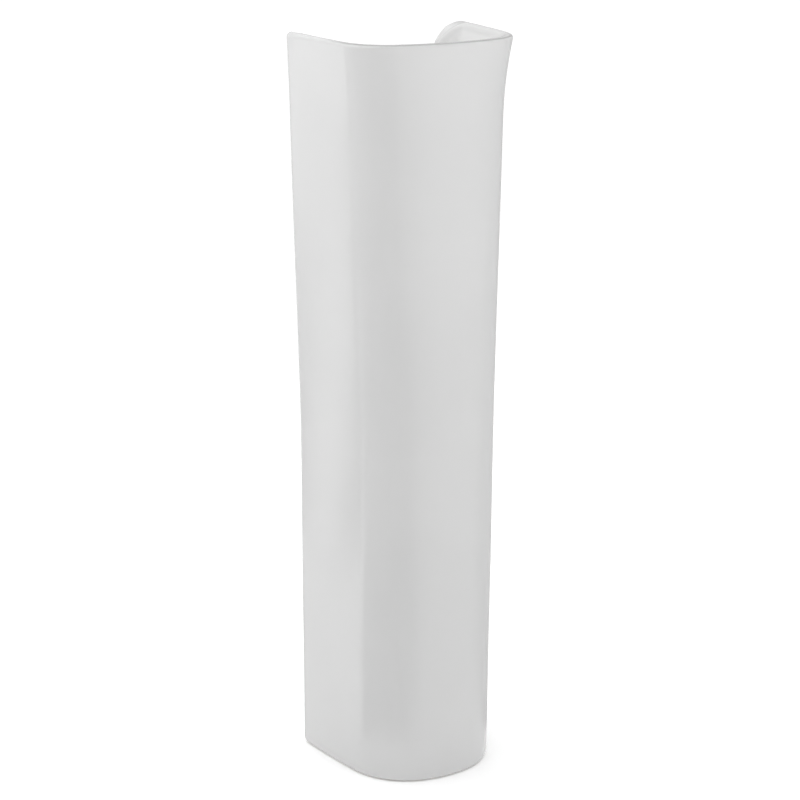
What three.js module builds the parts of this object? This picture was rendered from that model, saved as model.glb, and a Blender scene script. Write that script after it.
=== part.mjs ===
// Washbasin pedestal: one hollow casting in glazed vitreous china, open at the back.
// Millimetres. Z is up, the front faces -Y, the open back faces +Y, the foot stands on Z = 0.

import * as THREE from "three";

// Overall size
const HEIGHT = 690;
const BACK_Y = 75;
const DEPTH_FOOT = 146;
const FRONT_BELLY = 3;
const FRONT_LIP = 4;
const LIP_START = 615;

// Half width where the side walls meet the back plane, and where it grows
const HALF_WIDTH_FOOT = 85;
const HALF_WIDTH_RIM = 93;
const WIDEN_START = 280;
const WIDEN_END = 710;

// Plan curves: sides close in towards the front, bowed front, rounded corners
const SIDE_TAPER = 0.15;
const SIDE_TAPER_RIM = 0.08;
const BOW_FOOT = 24;
const BOW_RIM = 21;
const FRONT_CORNER_FOOT = 64;
const FRONT_CORNER_RIM = 48;
const REAR_CORNER = 15;

// Wall, rear returns and edge rounding
const WALL = 11;
const RETURN_WIDTH = 34;
const RETURN_CURVE_ACROSS = 32;
const RETURN_CURVE_DOWN = 46;
const RIM_EDGE_OUT = 2;
const RIM_EDGE_IN = 5.5;
const FOOT_EDGE_OUT = 5;
const FOOT_EDGE_IN = 2;

// Grid steps for each plan curve, counted on one half
const STEPS_BOW = 6;
const STEPS_CORNER = 9;
const STEPS_SIDE = 3;
const STEPS_REAR = 6;

function clamp01(t) {
  return Math.min(1, Math.max(0, t));
}

function ease(t) {
  const c = clamp01(t);
  return c * c * (3 - 2 * c);
}

function mix(a, b, t) {
  return a + (b - a) * t;
}

// Plan curves of the wall's middle line at one height, for the half with X >= 0
function planAt(z) {
  const up = z / HEIGHT;
  const lip = clamp01((z - LIP_START) / (HEIGHT - LIP_START)) ** 2;
  const belly = Math.sin(Math.PI * clamp01(z / LIP_START)) ** 2;
  const half = mix(HALF_WIDTH_FOOT, HALF_WIDTH_RIM, ease((z - WIDEN_START) / (WIDEN_END - WIDEN_START)));
  const front = BACK_Y - DEPTH_FOOT - FRONT_BELLY * belly - FRONT_LIP * lip;
  const taper = mix(SIDE_TAPER, SIDE_TAPER_RIM, lip);
  const bow = mix(BOW_FOOT, BOW_RIM, up);
  const corner = mix(FRONT_CORNER_FOOT, FRONT_CORNER_RIM, up);
  const stretch = Math.hypot(1, taper);
  const sideAngle = Math.PI / 2 - Math.atan(taper);

  // Bowed front through the middle and both ends of the side lines
  const chord = half - taper * (BACK_Y - front - bow);
  const bowRadius = (chord * chord + bow * bow) / (2 * bow);
  const bowY = front + bowRadius;

  // Front corner, tangent to the bow and to the side line
  const baseX = half - corner / stretch;
  const baseY = BACK_Y + (corner * taper) / stretch;
  const dirX = -taper / stretch;
  const dirY = -1 / stretch;
  const gapY = baseY - bowY;
  const along = baseX * dirX + gapY * dirY;
  const rest = baseX * baseX + gapY * gapY - (bowRadius - corner) ** 2;
  const run = -along + Math.sqrt(along * along - rest);
  const cornerX = baseX + run * dirX;
  const cornerY = baseY + run * dirY;
  const bowAngle = Math.atan2(cornerX, bowY - cornerY);

  // Rear corner, tangent to the side line and to the back plane
  const rearY = BACK_Y - REAR_CORNER;
  const rearX = half - taper * REAR_CORNER - REAR_CORNER * stretch;
  const tipX = half - RETURN_WIDTH;

  const skin = WALL / 2;
  const bowArc = { x: 0, y: bowY, r: bowRadius - skin, from: bowAngle, to: 0 };
  const cornerArc = { x: cornerX, y: cornerY, r: corner - skin, from: sideAngle, to: bowAngle };
  const rearArc = { x: rearX, y: rearY, r: REAR_CORNER - skin, from: Math.PI, to: sideAngle };
  const flat = rearX - tipX;
  const rearLength = rearArc.r * (rearArc.from - rearArc.to);
  const start = arcPoint(rearArc, 1);
  const end = arcPoint(cornerArc, 0);
  const sideLength = Math.hypot(end.x - start.x, end.y - start.y);
  return { tipX, flat, rearArc, rearLength, start, end, sideLength, cornerArc, bowArc };
}

// Point and outward normal on an arc; angles run from -Y towards +X
function arcPoint(arc, t) {
  const angle = mix(arc.from, arc.to, t);
  const nx = Math.sin(angle);
  const ny = -Math.cos(angle);
  return { x: arc.x + arc.r * nx, y: arc.y + arc.r * ny, nx, ny };
}

// Point on the middle line at a distance from the free edge of the rear return
function fromTip(plan, distance) {
  if (distance <= plan.flat) {
    return { x: plan.tipX + distance, y: BACK_Y - WALL / 2, nx: 0, ny: 1 };
  }
  return arcPoint(plan.rearArc, (distance - plan.flat) / plan.rearLength);
}

function edgeInset(depth, radius) {
  if (depth >= radius) {
    return 0;
  }
  return radius - Math.sqrt(radius * radius - (radius - depth) ** 2);
}

// Columns of one half, from the free edge of the return to the middle of the front
function halfColumns() {
  const columns = [];
  const flat = planAt(0).flat;
  const edge = [0, 0.5, RIM_EDGE_OUT, RIM_EDGE_IN, 9.5, 13, flat];
  for (const distance of edge) {
    columns.push({ part: "return", distance });
  }
  for (let i = 1; i <= STEPS_REAR; i += 1) {
    columns.push({ part: "rear", t: i / STEPS_REAR });
  }
  for (let i = 1; i < STEPS_SIDE; i += 1) {
    columns.push({ part: "side", t: i / STEPS_SIDE });
  }
  for (let i = 0; i <= STEPS_CORNER; i += 1) {
    columns.push({ part: "corner", t: i / STEPS_CORNER });
  }
  for (let i = 1; i <= STEPS_BOW; i += 1) {
    columns.push({ part: "bow", t: i / STEPS_BOW });
  }
  return columns;
}

// Heights of the rows, close together at the foot, the lip and the rim
function rowHeights() {
  const rows = [0, 0.7, 2, FOOT_EDGE_OUT];
  for (const z of [95, 190, 280, 340, 400, 460, 520, 575, 615, 632]) {
    rows.push(z);
  }
  const top = [RETURN_CURVE_DOWN, 36, 27, 19, 11.5, RIM_EDGE_IN, RIM_EDGE_OUT, 0.5, 0];
  for (const below of top) {
    rows.push(HEIGHT - below);
  }
  return rows;
}

// One grid point: place on the middle line plus how far the edges are rounded there
function gridPoint(column, row) {
  let z = row;
  let plan = planAt(z);
  let place;
  let edge = HEIGHT - z;
  if (column.part === "return" || column.part === "rear") {
    let distance = column.distance;
    if (column.part === "rear") {
      distance = plan.flat + plan.rearLength * column.t;
    }
    const shoulder = HEIGHT - RETURN_CURVE_DOWN;
    const a = 1 - distance / RETURN_CURVE_ACROSS;
    const b = (z - shoulder) / RETURN_CURVE_DOWN;
    if (a > 0 && b > 0) {
      // The square corner of the grid is pressed into a quarter of an ellipse
      const across = a * Math.sqrt(1 - (b * b) / 2);
      const upward = b * Math.sqrt(1 - (a * a) / 2);
      const share = Math.hypot(across, upward);
      const radius = Math.hypot(across * RETURN_CURVE_ACROSS, upward * RETURN_CURVE_DOWN) / share;
      distance = RETURN_CURVE_ACROSS * (1 - across);
      z = shoulder + RETURN_CURVE_DOWN * upward;
      plan = planAt(z);
      edge = Math.max(0, radius * (1 - share));
      if (edge < 1e-6) {
        edge = 0;
      }
    } else {
      edge = Math.min(edge, distance);
    }
    place = fromTip(plan, distance);
  } else if (column.part === "side") {
    const normal = plan.start;
    const x = mix(plan.start.x, plan.end.x, column.t);
    const y = mix(plan.start.y, plan.end.y, column.t);
    place = { x, y, nx: normal.nx, ny: normal.ny };
  } else if (column.part === "corner") {
    place = arcPoint(plan.cornerArc, column.t);
  } else {
    place = arcPoint(plan.bowArc, column.t);
  }
  const out = WALL / 2 - Math.max(edgeInset(edge, RIM_EDGE_OUT), edgeInset(z, FOOT_EDGE_OUT));
  const inn = WALL / 2 - Math.max(edgeInset(edge, RIM_EDGE_IN), edgeInset(z, FOOT_EDGE_IN));
  const outer = [place.x + place.nx * out, place.y + place.ny * out, z];
  const inner = [place.x - place.nx * inn, place.y - place.ny * inn, z];
  return { outer, inner };
}

// Whole shell: outer grid, inner grid and the narrow land that joins them all round
function shellGeometry() {
  const half = halfColumns();
  const rows = rowHeights();
  const columnCount = 2 * half.length - 1;
  const positions = [];
  const indices = [];

  function addLayer(layer) {
    for (const row of rows) {
      for (let i = 0; i < columnCount; i += 1) {
        const mirrored = i >= half.length;
        const column = half[mirrored ? columnCount - 1 - i : i];
        const p = gridPoint(column, row)[layer];
        const x = i === half.length - 1 ? 0 : p[0];
        positions.push(mirrored ? -x : x, p[1], p[2]);
      }
    }
  }

  addLayer("outer");
  addLayer("inner");
  const layerSize = rows.length * columnCount;

  function vertex(layer, row, column) {
    return layer * layerSize + row * columnCount + column;
  }

  function quad(a, b, c, d) {
    indices.push(a, b, c, a, c, d);
  }

  for (let j = 0; j + 1 < rows.length; j += 1) {
    for (let i = 0; i + 1 < columnCount; i += 1) {
      quad(vertex(0, j, i + 1), vertex(0, j, i), vertex(0, j + 1, i), vertex(0, j + 1, i + 1));
      quad(vertex(1, j, i), vertex(1, j, i + 1), vertex(1, j + 1, i + 1), vertex(1, j + 1, i));
    }
  }

  // Land along the foot and the rim
  const last = rows.length - 1;
  for (let i = 0; i + 1 < columnCount; i += 1) {
    quad(vertex(0, 0, i), vertex(0, 0, i + 1), vertex(1, 0, i + 1), vertex(1, 0, i));
    quad(vertex(0, last, i + 1), vertex(0, last, i), vertex(1, last, i), vertex(1, last, i + 1));
  }

  // Land along the free edges of the two rear returns
  const end = columnCount - 1;
  for (let j = 0; j < last; j += 1) {
    quad(vertex(0, j + 1, 0), vertex(0, j, 0), vertex(1, j, 0), vertex(1, j + 1, 0));
    quad(vertex(0, j, end), vertex(0, j + 1, end), vertex(1, j + 1, end), vertex(1, j, end));
  }

  const geometry = new THREE.BufferGeometry();
  geometry.setAttribute("position", new THREE.Float32BufferAttribute(positions, 3));
  geometry.setIndex(indices);
  geometry.computeVertexNormals();
  return geometry;
}

const glaze = new THREE.MeshStandardMaterial({ color: 0xf2f3f3, roughness: 0.15, metalness: 0 });
const body = new THREE.Mesh(shellGeometry(), glaze);
body.name = "pedestal_body";

const group = new THREE.Group();
group.name = "washbasin_pedestal";
group.add(body);

export default group;
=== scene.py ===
import math

import bpy
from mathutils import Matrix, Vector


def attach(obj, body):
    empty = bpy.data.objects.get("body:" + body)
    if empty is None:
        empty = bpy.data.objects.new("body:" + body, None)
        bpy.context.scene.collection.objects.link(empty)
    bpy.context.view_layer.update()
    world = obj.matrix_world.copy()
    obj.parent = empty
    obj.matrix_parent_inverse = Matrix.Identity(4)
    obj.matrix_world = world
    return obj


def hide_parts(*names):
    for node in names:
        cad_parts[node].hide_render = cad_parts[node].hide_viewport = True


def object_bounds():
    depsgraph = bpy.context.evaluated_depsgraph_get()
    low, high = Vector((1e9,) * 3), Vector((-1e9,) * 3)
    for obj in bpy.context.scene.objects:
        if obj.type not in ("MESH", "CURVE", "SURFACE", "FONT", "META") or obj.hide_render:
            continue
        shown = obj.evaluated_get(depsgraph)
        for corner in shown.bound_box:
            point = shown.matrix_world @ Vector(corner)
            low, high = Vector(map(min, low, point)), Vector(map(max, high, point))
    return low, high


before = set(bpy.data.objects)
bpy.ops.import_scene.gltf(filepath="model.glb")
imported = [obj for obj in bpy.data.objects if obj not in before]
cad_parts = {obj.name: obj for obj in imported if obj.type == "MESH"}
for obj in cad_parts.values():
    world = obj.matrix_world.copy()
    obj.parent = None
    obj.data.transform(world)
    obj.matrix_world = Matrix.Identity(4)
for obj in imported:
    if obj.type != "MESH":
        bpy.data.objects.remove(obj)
cad_box = [list(corner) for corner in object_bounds()]

MM = 0.001

# Driving sizes of the casting, in millimetres, the same as in the solid model
HEIGHT = round(cad_box[1][2] / MM, 2)
BACK_Y = round(cad_box[1][1] / MM, 2)
DEPTH_FOOT = 146.0
FRONT_BELLY = 3.0
FRONT_LIP = 4.0
LIP_START = 615.0
HALF_WIDTH_FOOT = 85.0
HALF_WIDTH_RIM = 93.0
WIDEN_START = 280.0
WIDEN_END = 710.0
SIDE_TAPER = 0.15
SIDE_TAPER_RIM = 0.08
BOW_FOOT = 24.0
BOW_RIM = 21.0
FRONT_CORNER_FOOT = 64.0
FRONT_CORNER_RIM = 48.0
REAR_CORNER = 15.0
WALL = 11.0
RETURN_WIDTH = 34.0
RETURN_CURVE_ACROSS = 32.0
RETURN_CURVE_DOWN = 46.0
RIM_EDGE_OUT = 2.0
RIM_EDGE_IN = 5.5
FOOT_EDGE_OUT = 5.0
FOOT_EDGE_IN = 2.0

# Softer forms of the fired casting that the solid leaves out, in millimetres
RIM_EDGE_SIDE = 4.5
RETURN_EDGE_IN = 8.5
REAR_FILLET = 18.0
SIDE_FULLNESS = 1.0
WANDER = 0.16
WANDER_FADE = 60.0

# Waves of the wander: share, radians per millimetre along X, Y and Z, phase, phase added inside
WAVES = (
    (0.5, 0.031, 0.0, 0.021, 0.7, 1.0),
    (0.35, 0.0, -0.043, 0.0093, 1.9, 2.1),
    (0.15, -0.022, 0.027, 0.037, 4.0, 0.0),
)

# Grid steps of the fine mesh, counted on one half; pitches and depths in millimetres
STEPS_BOW = 18
STEPS_CORNER = 30
STEPS_SIDE = 14
STEPS_REAR = 14
STEPS_RETURN = 6
STEPS_EDGE = 7
ROW_PITCH = 6.0
ROW_PITCH_TOP = 3.0
DEEPEST_EDGE = 60.0

# Tones of the glaze and of the bare clay
GLAZE_TONES = ((0.748, 0.749, 0.748), (0.77, 0.77, 0.769))
# Painted light: the lighter inside and return tones; painted shade: the darker inner edge tone
INSIDE_LIGHT_TONES = ((0.86, 0.86, 0.858), (0.835, 0.833, 0.825))
RETURN_LIGHT_TONE = (0.955, 0.955, 0.953)
INNER_EDGE_SHADE_TONE = (0.74, 0.74, 0.738)
# Painted shade: the dark line along the outer edge of the rim
RIM_SHADE_TONE = (0.41, 0.41, 0.405)
CLAY_TONES = ((0.60, 0.565, 0.51), (0.70, 0.67, 0.62))

# Where the glaze, its painted light and its painted shade change: depths below an edge in
# millimetres, places in metres
INNER_EDGE_DEPTH = (2.0, 9.0)
RIM_SHADE_DEPTH = (0.4, 1.4)
RIM_SHADE_FORWARD = (0.0, 0.065)
RIM_SHADE_SLANT = -0.15
RETURN_LIGHT_BACK = (0.052, 0.063)
BARE_HEIGHT = (0.0003, 0.0008)
BARE_RAGGED = 0.0004

# Noise patterns: scale per metre, detail and, where it isn't 0.5, roughness
CLOUD_NOISE = (7.0, 3.0)
CLOT_NOISE = (22.0, 4.0, 0.6)
GLOSS_NOISE = (14.0, 2.0)
SKIN_NOISE = (130.0, 2.0)
FRAY_NOISE = (160.0, 2.0)
GRIT_NOISE = (900.0, 2.0)
SAND_NOISE = (1400.0, 1.0)

# Parts of the noises' range, and of the way from outside to inside, over which the glaze and the
# painted rim shade change
NOISE_SPAN = (0.3, 0.7)
CLOT_SPAN = (0.35, 0.75)
CLOT_SHARE = 0.5
OUTSIDE_SPAN = (0.0, 0.15)

# Gloss and skin of the glaze and of the clay, with the skin's height in metres
GLAZE_IOR = 1.5
GLOSS_ROUGHNESS = (0.10, 0.15)
CLAY_ROUGHNESS = 0.7
SKIN_STRENGTH = 0.06
SKIN_HEIGHT = 0.0006
SAND_SHARE = 0.5

# Camera of the photograph: metres, degrees, pixels of its image, and the sensor in millimetres
IMAGE_PIXELS = 800.0
FOCAL_PIXELS = 2222.7
CAMERA_PLACE = (-0.9464, -1.7349, 0.9287)
CAMERA_TURN = 28.329
CAMERA_PITCH = 16.25
CAMERA_SENSOR = 36.0
CAMERA_FAR = 200.0

# Sky: brightness straight overhead, and the power of the height with which it falls off
WORLD_ZENITH = 2.85
WORLD_POWER = 4.0

# Floor, in metres; glow is the light that a stage surface gives off by itself
FLOOR_REACH = 30.0
FLOOR_Z = -0.0003
FLOOR_TONE = (0.94, 0.94, 0.94)
FLOOR_GLOW = 0.16
BLACK = (0.0, 0.0, 0.0)
WHITE = (1.0, 1.0, 1.0)

# Round walls: name, radius, glow, and whether the camera sees it or only the glaze
ROUND_WALLS = (
    ("backdrop", 28.0, 1.0, True),
    ("dim_wall", 27.0, 0.48, False),
)
ROUND_WALL_TOP = 24.0
ROUND_WALL_STEPS = 48

# Softboxes: name, azimuth, distance, height, aimed height, size, opening, radiance
NO_GRID = 180.0
GRID = 75.0
SOFTBOXES = (
    ("back_left", -140.0, 1.6, 0.85, 0.35, (1.3, 1.5), NO_GRID, 0.42),
    ("rear", 175.0, 1.2, 0.75, 0.45, (1.0, 1.2), NO_GRID, 1.0),
    ("left", -115.0, 1.1, 1.15, 0.8, (0.8, 0.8), GRID, 3.05),
    ("front", -35.0, 1.3, 1.15, 0.66, (0.8, 0.8), GRID, 0.75),
    ("right", 30.0, 1.1, 1.15, 0.74, (0.8, 0.8), GRID, 2.45),
)

# Flags: name, centre, first and last azimuth, soft margin of each,
# then the distances of near edge, full cover and far edge, and the grey
FLAGS = (
    ("front_flag", (-0.06, -0.04), -115.0, 20.0, 6.0, 44.0, 0.07, 0.12, 20.0, 0.05),
    ("left_flag", (0.0, 0.0), -132.5, -109.0, 6.5, 6.0, 0.5, 0.8, 20.0, 0.05),
    ("far_left_flag", (0.0, 0.0), -170.0, -135.5, 10.0, 6.5, 0.5, 0.9, 2.8, 0.35),
    ("right_flag", (0.06, 0.0), 45.0, 165.0, 30.0, 8.0, 0.03, 0.06, 20.0, 0.55),
    ("left_edge_flag", (-0.06, 0.03), -208.0, -146.0, 8.0, 6.0, 0.03, 0.06, 20.0, 0.6),
)
FLAG_Z = 0.001
FLAG_FAR_FADE = 1 / 3
FLAG_STEPS = 40
FLAG_STEPS_NEAR = 8
FLAG_STEPS_FAR = 12


def clamp01(t):
    return min(1.0, max(0.0, t))


def ease(t):
    """Smooth step from 0 to 1."""
    c = clamp01(t)
    return c * c * (3.0 - 2.0 * c)


def mix(a, b, t):
    return a + (b - a) * t


def spread(low, high, count):
    """Values from low to high at even steps, without low."""
    return [mix(low, high, (i + 1) / count) for i in range(count)]


def arc_point(arc, t):
    """Point and outward normal on an arc given as x, y, radius, first angle, last angle."""
    x, y, radius, first, last = arc
    angle = mix(first, last, t)
    nx = math.sin(angle)
    ny = -math.cos(angle)
    return x + radius * nx, y + radius * ny, nx, ny


def plan_at(z):
    """Plan curves of both faces of the wall at one height, for the half with X >= 0."""
    up = z / HEIGHT
    lip = clamp01((z - LIP_START) / (HEIGHT - LIP_START)) ** 2
    belly = math.sin(math.pi * clamp01(z / LIP_START)) ** 2
    widen = ease((z - WIDEN_START) / (WIDEN_END - WIDEN_START))
    half = mix(HALF_WIDTH_FOOT, HALF_WIDTH_RIM, widen)
    front = BACK_Y - DEPTH_FOOT - FRONT_BELLY * belly - FRONT_LIP * lip
    taper = mix(SIDE_TAPER, SIDE_TAPER_RIM, lip)
    bow = mix(BOW_FOOT, BOW_RIM, up)
    corner = mix(FRONT_CORNER_FOOT, FRONT_CORNER_RIM, up)
    stretch = math.hypot(1.0, taper)
    side_angle = math.pi / 2 - math.atan(taper)

    # Bowed front through the middle and both ends of the side lines
    chord = half - taper * (BACK_Y - front - bow)
    bow_radius = (chord * chord + bow * bow) / (2 * bow)
    bow_y = front + bow_radius

    # Front corner, tangent to the bow and to the side line
    base_x = half - corner / stretch
    base_y = BACK_Y + corner * taper / stretch
    dir_x = -taper / stretch
    dir_y = -1.0 / stretch
    gap_y = base_y - bow_y
    along = base_x * dir_x + gap_y * dir_y
    rest = base_x * base_x + gap_y * gap_y - (bow_radius - corner) ** 2
    run = -along + math.sqrt(along * along - rest)
    corner_x = base_x + run * dir_x
    corner_y = base_y + run * dir_y
    bow_angle = math.atan2(corner_x, bow_y - corner_y)

    # Free edge of the return, and how far the full side turns at each of its ends
    tip = half - RETURN_WIDTH
    swing = 4 * SIDE_FULLNESS / (BACK_Y - REAR_CORNER - corner_y)

    def face(inset, rear_radius):
        """Curves of one face of the wall, at an inset from the outside."""
        reach = inset + rear_radius
        rear_x = half - reach * (taper + stretch)
        curves = {
            "rear": (rear_x, BACK_Y - reach, rear_radius, math.pi, side_angle + swing),
            "corner": (corner_x, corner_y, corner - inset, side_angle - swing, bow_angle),
            "bow": (0.0, bow_y, bow_radius - inset, bow_angle, 0.0),
            "back": BACK_Y - inset,
            "flat": rear_x - tip,
        }
        curves["start"] = arc_point(curves["rear"], 1.0)
        curves["end"] = arc_point(curves["corner"], 0.0)
        return curves

    # The way from the tip is counted along the middle of the wall, so both faces share it
    outer = face(0.0, REAR_CORNER)
    inner = face(WALL, REAR_FILLET)
    bend = (REAR_CORNER - WALL / 2) * (math.pi - side_angle - swing)
    return {
        "tip": tip,
        "flat": outer["flat"],
        "span": outer["flat"] + bend,
        "side_angle": side_angle,
        "swing": swing,
        "faces": (outer, inner),
    }


def face_point(plan, face, part, value):
    """Point and outward normal on one face; value is the way from the tip, or a share of a curve."""
    if part in ("return", "rear"):
        if value <= face["flat"]:
            return plan["tip"] + value, face["back"], 0.0, 1.0
        return arc_point(face["rear"], (value - face["flat"]) / (plan["span"] - face["flat"]))
    if part == "side":
        lean = plan["side_angle"]
        angle = lean + plan["swing"] * (1 - 2 * value)
        full = 4 * SIDE_FULLNESS * value * (1 - value)
        x = mix(face["start"][0], face["end"][0], value) + full * math.sin(lean)
        y = mix(face["start"][1], face["end"][1], value) - full * math.cos(lean)
        return x, y, math.sin(angle), -math.cos(angle)
    return arc_point(face[part], value)


def edge_inset(depth, radius):
    """How far a rounded edge draws back at a depth below it."""
    if depth >= radius:
        return 0.0
    return radius - math.sqrt(max(0.0, radius * radius - (radius - depth) ** 2))


def edge_steps(radius):
    """Depths below an edge, from 0 to radius, closest together at the edge."""
    return [radius * (1 - math.cos(math.pi / 2 * i / STEPS_EDGE)) for i in range(STEPS_EDGE + 1)]


def half_columns():
    """Columns of one half, from the free edge of the return to the middle of the front."""
    flat = plan_at(0.0)["flat"]
    columns = [("return", d) for d in edge_steps(RIM_EDGE_IN)]
    columns += [("return", d) for d in spread(RIM_EDGE_IN, flat, STEPS_RETURN)]
    columns += [("rear", t) for t in spread(0.0, 1.0, STEPS_REAR)]
    columns += [("side", t) for t in spread(0.0, 1.0, STEPS_SIDE)]
    columns += [("corner", t) for t in spread(0.0, 1.0, STEPS_CORNER)]
    columns += [("bow", t) for t in spread(0.0, 1.0, STEPS_BOW)]
    return columns


def row_heights():
    """Heights of the rows, closest together at the foot and the rim."""
    rows = edge_steps(FOOT_EDGE_OUT)
    shoulder = HEIGHT - RETURN_CURVE_DOWN
    rows += spread(FOOT_EDGE_OUT, shoulder, round((shoulder - FOOT_EDGE_OUT) / ROW_PITCH))
    neck = HEIGHT - RIM_EDGE_IN
    rows += spread(shoulder, neck, round((neck - shoulder) / ROW_PITCH_TOP))
    rows += [HEIGHT - d for d in reversed(edge_steps(RIM_EDGE_IN)[:-1])]
    return rows


def wander(x, y, z, layer):
    """Slow waviness of a fired wall, faded out at the foot and the rim."""
    fade = ease(z / WANDER_FADE) * ease((HEIGHT - z) / WANDER_FADE)
    total = 0.0
    for share, along_x, along_y, along_z, phase, inner_phase in WAVES:
        angle = along_x * x + along_y * y + along_z * z + phase + inner_phase * layer
        total += share * math.sin(angle)
    return WANDER * fade * total


def grid_point(column, z, side):
    """Outer and inner point, and depth below the nearest rim or return edge."""
    part, value = column
    plan = plan_at(z)
    edge = HEIGHT - z
    # Broad is 1 along the sides and 0 across the front; free is 1 along the free edge of a return
    broad = {"bow": 0.0, "corner": ease(1 - value)}.get(part, 1.0)
    free = 0.0
    if part in ("return", "rear"):
        if part == "rear":
            value = mix(plan["flat"], plan["span"], value)
        shoulder = HEIGHT - RETURN_CURVE_DOWN
        a = 1 - value / RETURN_CURVE_ACROSS
        b = (z - shoulder) / RETURN_CURVE_DOWN
        if a > 0 and b > 0:
            # The square corner of the grid is pressed into a quarter of an ellipse
            across = a * math.sqrt(1 - b * b / 2)
            upward = b * math.sqrt(1 - a * a / 2)
            share = math.hypot(across, upward)
            radius = math.hypot(across * RETURN_CURVE_ACROSS, upward * RETURN_CURVE_DOWN) / share
            value = RETURN_CURVE_ACROSS * (1 - across)
            z = shoulder + RETURN_CURVE_DOWN * upward
            plan = plan_at(z)
            edge = max(0.0, radius * (1 - share))
            free = (across / share) ** 2
        else:
            edge = min(edge, value)
            free = 1.0 if b <= 0 else 0.0
    round_out = mix(RIM_EDGE_OUT, RIM_EDGE_SIDE, broad * (1 - free))
    round_in = mix(RIM_EDGE_IN, RETURN_EDGE_IN, free)
    insets = (
        max(edge_inset(edge, round_out), edge_inset(z, FOOT_EDGE_OUT)),
        max(edge_inset(edge, round_in), edge_inset(z, FOOT_EDGE_IN)),
    )
    points = []
    for layer, face in enumerate(plan["faces"]):
        x, y, nx, ny = face_point(plan, face, part, value)
        shift = wander(side * x, y, z, layer) - insets[layer]
        if layer == 1:
            shift = -shift
        points.append((side * (x + nx * shift), y + ny * shift, z))
    return points[0], points[1], min(edge, DEEPEST_EDGE)


def build_shell():
    """Fine mesh of the casting: outer grid, inner grid and the land that joins them."""
    half = half_columns()
    rows = row_heights()
    width = 2 * len(half) - 1
    layers = ([], [])
    edges = []
    for z in rows:
        for i in range(width):
            side = 1 if i < len(half) else -1
            column = half[i] if side == 1 else half[width - 1 - i]
            outer, inner, edge = grid_point(column, z, side)
            layers[0].append(outer)
            layers[1].append(inner)
            edges.append(edge)
    count = len(rows) * width
    points = [(x * MM, y * MM, z * MM) for layer in layers for x, y, z in layer]

    def at(layer, row, column):
        return layer * count + row * width + column

    faces = []
    top = len(rows) - 1
    end = width - 1
    for j in range(top):
        for i in range(end):
            faces.append((at(0, j, i + 1), at(0, j, i), at(0, j + 1, i), at(0, j + 1, i + 1)))
            faces.append((at(1, j, i), at(1, j, i + 1), at(1, j + 1, i + 1), at(1, j + 1, i)))
    # Land along the foot and the rim
    for i in range(end):
        faces.append((at(0, 0, i), at(0, 0, i + 1), at(1, 0, i + 1), at(1, 0, i)))
        faces.append((at(0, top, i + 1), at(0, top, i), at(1, top, i), at(1, top, i + 1)))
    # Land along the free edges of the two returns
    for j in range(top):
        faces.append((at(0, j + 1, 0), at(0, j, 0), at(1, j, 0), at(1, j + 1, 0)))
        faces.append((at(0, j, end), at(0, j + 1, end), at(1, j + 1, end), at(1, j, end)))

    mesh = bpy.data.meshes.new("pedestal_casting")
    mesh.from_pydata(points, [], faces)
    mesh.validate()
    mesh.polygons.foreach_set("use_smooth", [True] * len(mesh.polygons))
    depth = mesh.attributes.new("edge_depth", "FLOAT", "POINT")
    depth.data.foreach_set("value", edges + edges)
    inside = mesh.attributes.new("inside", "FLOAT", "POINT")
    inside.data.foreach_set("value", [0.0] * count + [1.0] * count)
    mesh.update()
    body = bpy.data.objects.new("pedestal_casting", mesh)
    bpy.context.scene.collection.objects.link(body)
    return body


class Nodes:
    """Small helper that adds and links shader nodes."""

    def __init__(self, tree):
        self.tree = tree
        tree.nodes.clear()

    def add(self, kind, **settings):
        node = self.tree.nodes.new(kind)
        for name, value in settings.items():
            setattr(node, name, value)
        return node

    def link(self, source, target):
        self.tree.links.new(source, target)

    def attribute(self, name):
        return self.add("ShaderNodeAttribute", attribute_name=name).outputs["Fac"]

    def noise(self, vector, scale, detail, roughness=0.5):
        node = self.add("ShaderNodeTexNoise")
        node.inputs["Scale"].default_value = scale
        node.inputs["Detail"].default_value = detail
        node.inputs["Roughness"].default_value = roughness
        self.link(vector, node.inputs["Vector"])
        return node.outputs["Fac"]

    def map_range(self, value, low, high, to_low, to_high, smooth=False):
        node = self.add("ShaderNodeMapRange")
        if smooth:
            node.interpolation_type = "SMOOTHSTEP"
        limits = {"From Min": low, "From Max": high, "To Min": to_low, "To Max": to_high}
        for name, number in limits.items():
            node.inputs[name].default_value = number
        self.link(value, node.inputs["Value"])
        return node.outputs["Result"]

    def rise(self, value, low, high):
        """Smooth step from 0 to 1."""
        return self.map_range(value, low, high, 0.0, 1.0, smooth=True)

    def fall(self, value, low, high):
        """Smooth step from 1 to 0."""
        return self.map_range(value, low, high, 1.0, 0.0, smooth=True)

    def blend(self, factor, first, second):
        """Colour mix; each colour is a tuple or a socket."""
        node = self.add("ShaderNodeMix", data_type="RGBA")
        self.link(factor, node.inputs["Factor"])
        colours = [s for s in node.inputs if s.type == "RGBA"]
        for socket, value in zip(colours, (first, second)):
            if isinstance(value, tuple):
                socket.default_value = (*value, 1.0)
            else:
                self.link(value, socket)
        return [s for s in node.outputs if s.type == "RGBA"][0]

    def math(self, operation, first, second):
        """Arithmetic on two values; each is a number or a socket."""
        node = self.add("ShaderNodeMath", operation=operation)
        for socket, value in zip(node.inputs, (first, second)):
            if isinstance(value, (int, float)):
                socket.default_value = value
            else:
                self.link(value, socket)
        return node.outputs["Value"]


def new_material(name):
    """Empty node material, with its node helper and its output."""
    material = bpy.data.materials.new(name)
    material.use_nodes = True
    nodes = Nodes(material.node_tree)
    return material, nodes, nodes.add("ShaderNodeOutputMaterial")


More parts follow.
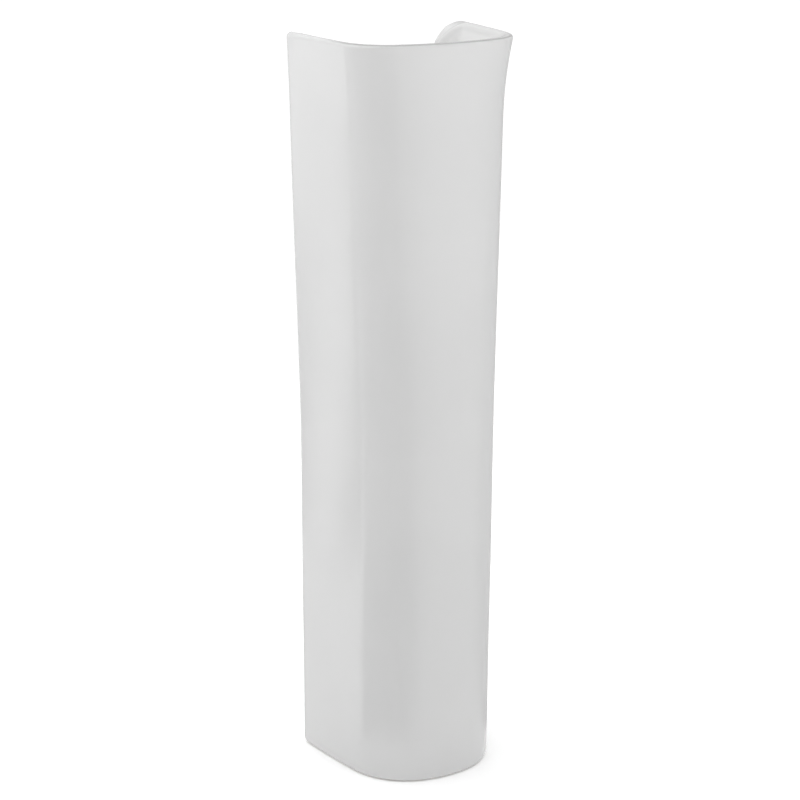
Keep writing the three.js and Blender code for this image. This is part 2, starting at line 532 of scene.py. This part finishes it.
def glaze_material():
    """White sanitary glaze over vitreous china, bare clay under the foot."""
    material, n, output = new_material("sanitary_glaze")
    shader = n.add("ShaderNodeBsdfPrincipled")
    n.link(shader.outputs["BSDF"], output.inputs["Surface"])
    shader.inputs["IOR"].default_value = GLAZE_IOR
    shader.inputs["Metallic"].default_value = 0.0

    place = n.add("ShaderNodeTexCoord").outputs["Object"]
    depth = n.attribute("edge_depth")
    inside = n.attribute("inside")
    axes = n.add("ShaderNodeSeparateXYZ")
    n.link(place, axes.inputs["Vector"])

    # Slow shifts of tone where the glaze lies thicker or thinner
    cloud = n.rise(n.noise(place, *CLOUD_NOISE), *NOISE_SPAN)
    tone = n.blend(cloud, *GLAZE_TONES)

    # Painted light: the inside gets a lighter tone than the outside, with random clots, and is
    # lightest on the returns; painted shade: near the inner edges it keeps about the outside's tone
    clots = n.map_range(n.noise(place, *CLOT_NOISE), *CLOT_SPAN, 0.0, CLOT_SHARE, smooth=True)
    return_light = n.rise(axes.outputs["Y"], *RETURN_LIGHT_BACK)
    inside_light = n.blend(return_light, n.blend(clots, *INSIDE_LIGHT_TONES), RETURN_LIGHT_TONE)
    deep = n.rise(depth, *INNER_EDGE_DEPTH)
    tone = n.blend(inside, tone, n.blend(deep, INNER_EDGE_SHADE_TONE, inside_light))

    # Painted shade: a dark line along the outer edge of the rim, most of all across the front
    rim_shade = n.math("MULTIPLY", n.fall(depth, *RIM_SHADE_DEPTH), n.fall(inside, *OUTSIDE_SPAN))
    slant = n.math("MULTIPLY", axes.outputs["X"], RIM_SHADE_SLANT)
    forward = n.math("SUBTRACT", slant, axes.outputs["Y"])
    rim_shade = n.math("MULTIPLY", rim_shade, n.rise(forward, *RIM_SHADE_FORWARD))
    tone = n.blend(rim_shade, tone, RIM_SHADE_TONE)

    # The foot is wiped clean before firing
    fray = n.map_range(n.noise(place, *FRAY_NOISE), 0.0, 1.0, -BARE_RAGGED, BARE_RAGGED)
    bare = n.fall(n.math("ADD", axes.outputs["Z"], fray), *BARE_HEIGHT)
    grit = n.map_range(n.noise(place, *GRIT_NOISE), *NOISE_SPAN, 0.0, 1.0)
    n.link(n.blend(bare, tone, n.blend(grit, *CLAY_TONES)), shader.inputs["Base Color"])

    # The gloss is uneven, and the bare clay dull
    gloss = n.map_range(n.noise(place, *GLOSS_NOISE), *NOISE_SPAN, *GLOSS_ROUGHNESS)
    dull = n.math("MULTIPLY", bare, CLAY_ROUGHNESS)
    n.link(n.math("ADD", gloss, dull), shader.inputs["Roughness"])

    # Faint skin of the glaze, and the sandy clay
    skin = n.noise(place, *SKIN_NOISE)
    sand = n.math("MULTIPLY", n.noise(place, *SAND_NOISE), n.math("MULTIPLY", bare, SAND_SHARE))
    bump = n.add("ShaderNodeBump")
    bump.inputs["Strength"].default_value = SKIN_STRENGTH
    bump.inputs["Distance"].default_value = SKIN_HEIGHT
    n.link(n.math("ADD", skin, sand), bump.inputs["Height"])
    n.link(bump.outputs["Normal"], shader.inputs["Normal"])
    return material


def matt_material(name, colour, glow):
    """Matt stage surface that also glows by itself."""
    material, n, output = new_material(name)
    shader = n.add("ShaderNodeBsdfPrincipled")
    n.link(shader.outputs["BSDF"], output.inputs["Surface"])
    shader.inputs["Base Color"].default_value = (*colour, 1.0)
    shader.inputs["Roughness"].default_value = 1.0
    shader.inputs["Specular IOR Level"].default_value = 0.0
    shader.inputs["Emission Color"].default_value = (*WHITE, 1.0)
    shader.inputs["Emission Strength"].default_value = glow
    return material


def flag_material(grey):
    """Dark cloth that thins out towards its edges."""
    material, n, output = new_material("flag_cloth")
    join = n.add("ShaderNodeMixShader")
    cloth = n.add("ShaderNodeBsdfDiffuse")
    cloth.inputs["Color"].default_value = (grey, grey, grey, 1.0)
    n.link(n.attribute("cover"), join.inputs["Fac"])
    n.link(n.add("ShaderNodeBsdfTransparent").outputs["BSDF"], join.inputs[1])
    n.link(cloth.outputs["BSDF"], join.inputs[2])
    n.link(join.outputs["Shader"], output.inputs["Surface"])
    return material


def add_stage(name, points, faces, material):
    """Stage piece that isn't part of the object."""
    mesh = bpy.data.meshes.new(name)
    mesh.from_pydata(points, [], faces)
    mesh.materials.append(material)
    piece = bpy.data.objects.new(name, mesh)
    bpy.context.scene.collection.objects.link(piece)
    return piece


def ground_place(azimuth, distance, z):
    """Point at an azimuth counted from the front towards +X."""
    angle = math.radians(azimuth)
    return distance * math.sin(angle), -distance * math.cos(angle), z


def add_floor():
    """Wide pale floor, just below the foot."""
    reach = FLOOR_REACH
    signs = ((-1, -1), (1, -1), (1, 1), (-1, 1))
    corners = [(reach * x, reach * y, FLOOR_Z) for x, y in signs]
    add_stage("floor", corners, [(0, 1, 2, 3)], matt_material("pale_floor", FLOOR_TONE, FLOOR_GLOW))


def add_round_wall(name, radius, glow, seen):
    """Pale round wall far behind everything, seen either directly or only in the glaze."""
    points = []
    faces = []
    for i in range(ROUND_WALL_STEPS):
        for z in (FLOOR_Z, ROUND_WALL_TOP):
            points.append(ground_place(360.0 * i / ROUND_WALL_STEPS, radius, z))
        a = 2 * i
        b = 2 * ((i + 1) % ROUND_WALL_STEPS)
        faces.append((a, b, b + 1, a + 1))
    wall = add_stage(name, points, faces, matt_material(name, BLACK, glow))
    wall.visible_camera = seen
    wall.visible_glossy = not seen
    wall.visible_diffuse = False
    wall.visible_shadow = False


def add_flag(name, centre, first, last, soft_first, soft_last, near, full, far, grey):
    """Flat cloth on the floor around the object, seen only as a reflection in the glaze."""
    distances = [near] + spread(near, full, FLAG_STEPS_NEAR) + spread(full, far, FLAG_STEPS_FAR)
    points = []
    cover = []
    for i in range(FLAG_STEPS + 1):
        azimuth = mix(first, last, i / FLAG_STEPS)
        across = ease((azimuth - first) / soft_first) * ease((last - azimuth) / soft_last)
        for distance in distances:
            x, y, z = ground_place(azimuth, distance, FLAG_Z)
            points.append((x + centre[0], y + centre[1], z))
            near_fade = ease((distance - near) / (full - near))
            far_fade = ease((far - distance) / (FLAG_FAR_FADE * far))
            cover.append(across * near_fade * far_fade)
    width = len(distances)
    faces = []
    for i in range(FLAG_STEPS):
        for j in range(width - 1):
            a = i * width + j
            faces.append((a, a + 1, a + width + 1, a + width))
    flag = add_stage(name, points, faces, flag_material(grey))
    share = flag.data.attributes.new("cover", "FLOAT", "POINT")
    share.data.foreach_set("value", cover)
    flag.visible_camera = False
    flag.visible_diffuse = False
    flag.visible_shadow = False


def add_world():
    """Soft studio light: bright overhead, none at the horizon and below."""
    world = bpy.data.worlds.new("studio")
    bpy.context.scene.world = world
    world.use_nodes = True
    n = Nodes(world.node_tree)
    output = n.add("ShaderNodeOutputWorld")
    background = n.add("ShaderNodeBackground")
    n.link(background.outputs["Background"], output.inputs["Surface"])
    axes = n.add("ShaderNodeSeparateXYZ")
    n.link(n.add("ShaderNodeTexCoord").outputs["Generated"], axes.inputs["Vector"])
    height = n.map_range(axes.outputs["Z"], 0.0, 1.0, 0.0, 1.0)
    climb = n.math("POWER", height, WORLD_POWER)
    n.link(n.math("MULTIPLY", climb, WORLD_ZENITH), background.inputs["Strength"])
    background.inputs["Color"].default_value = (*WHITE, 1.0)


def add_softbox(name, azimuth, distance, height, aim, size, opening, radiance):
    """Softbox with a given brightness on its axis; a narrower opening stands for a grid."""
    half = math.radians(opening) / 2
    share = 1.0 if opening >= NO_GRID else (math.tan(half) - half) / math.tan(half)
    light = bpy.data.lights.new(name, "AREA")
    light.shape = "RECTANGLE"
    light.size, light.size_y = size
    light.spread = 2 * half
    light.energy = radiance * math.pi * size[0] * size[1] * share
    lamp = bpy.data.objects.new(name, light)
    bpy.context.scene.collection.objects.link(lamp)
    tilt = math.pi / 2 + math.atan2(aim - height, distance)
    lamp.location = ground_place(azimuth, distance, height)
    lamp.rotation_euler = (tilt, 0.0, math.radians(azimuth))
    lamp.visible_camera = False
    lamp.visible_glossy = False


def add_camera():
    """The photograph's view: from the left front, a little above the rim."""
    camera = bpy.data.cameras.new("photo_camera")
    camera.sensor_width = CAMERA_SENSOR
    camera.lens = FOCAL_PIXELS / IMAGE_PIXELS * CAMERA_SENSOR
    camera.clip_end = CAMERA_FAR
    eye = bpy.data.objects.new("photo_camera", camera)
    bpy.context.scene.collection.objects.link(eye)
    eye.location = CAMERA_PLACE
    eye.rotation_euler = (math.radians(90.0 - CAMERA_PITCH), 0.0, -math.radians(CAMERA_TURN))
    bpy.context.scene.camera = eye


add_camera()
add_world()
add_floor()
for round_wall in ROUND_WALLS:
    add_round_wall(*round_wall)
for softbox in SOFTBOXES:
    add_softbox(*softbox)
for flag in FLAGS:
    add_flag(*flag)
bpy.context.scene.view_settings.view_transform = "Standard"

casting = build_shell()
casting.data.materials.append(glaze_material())
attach(casting, "root")
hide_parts("pedestal_body")

bpy.context.view_layer.update()
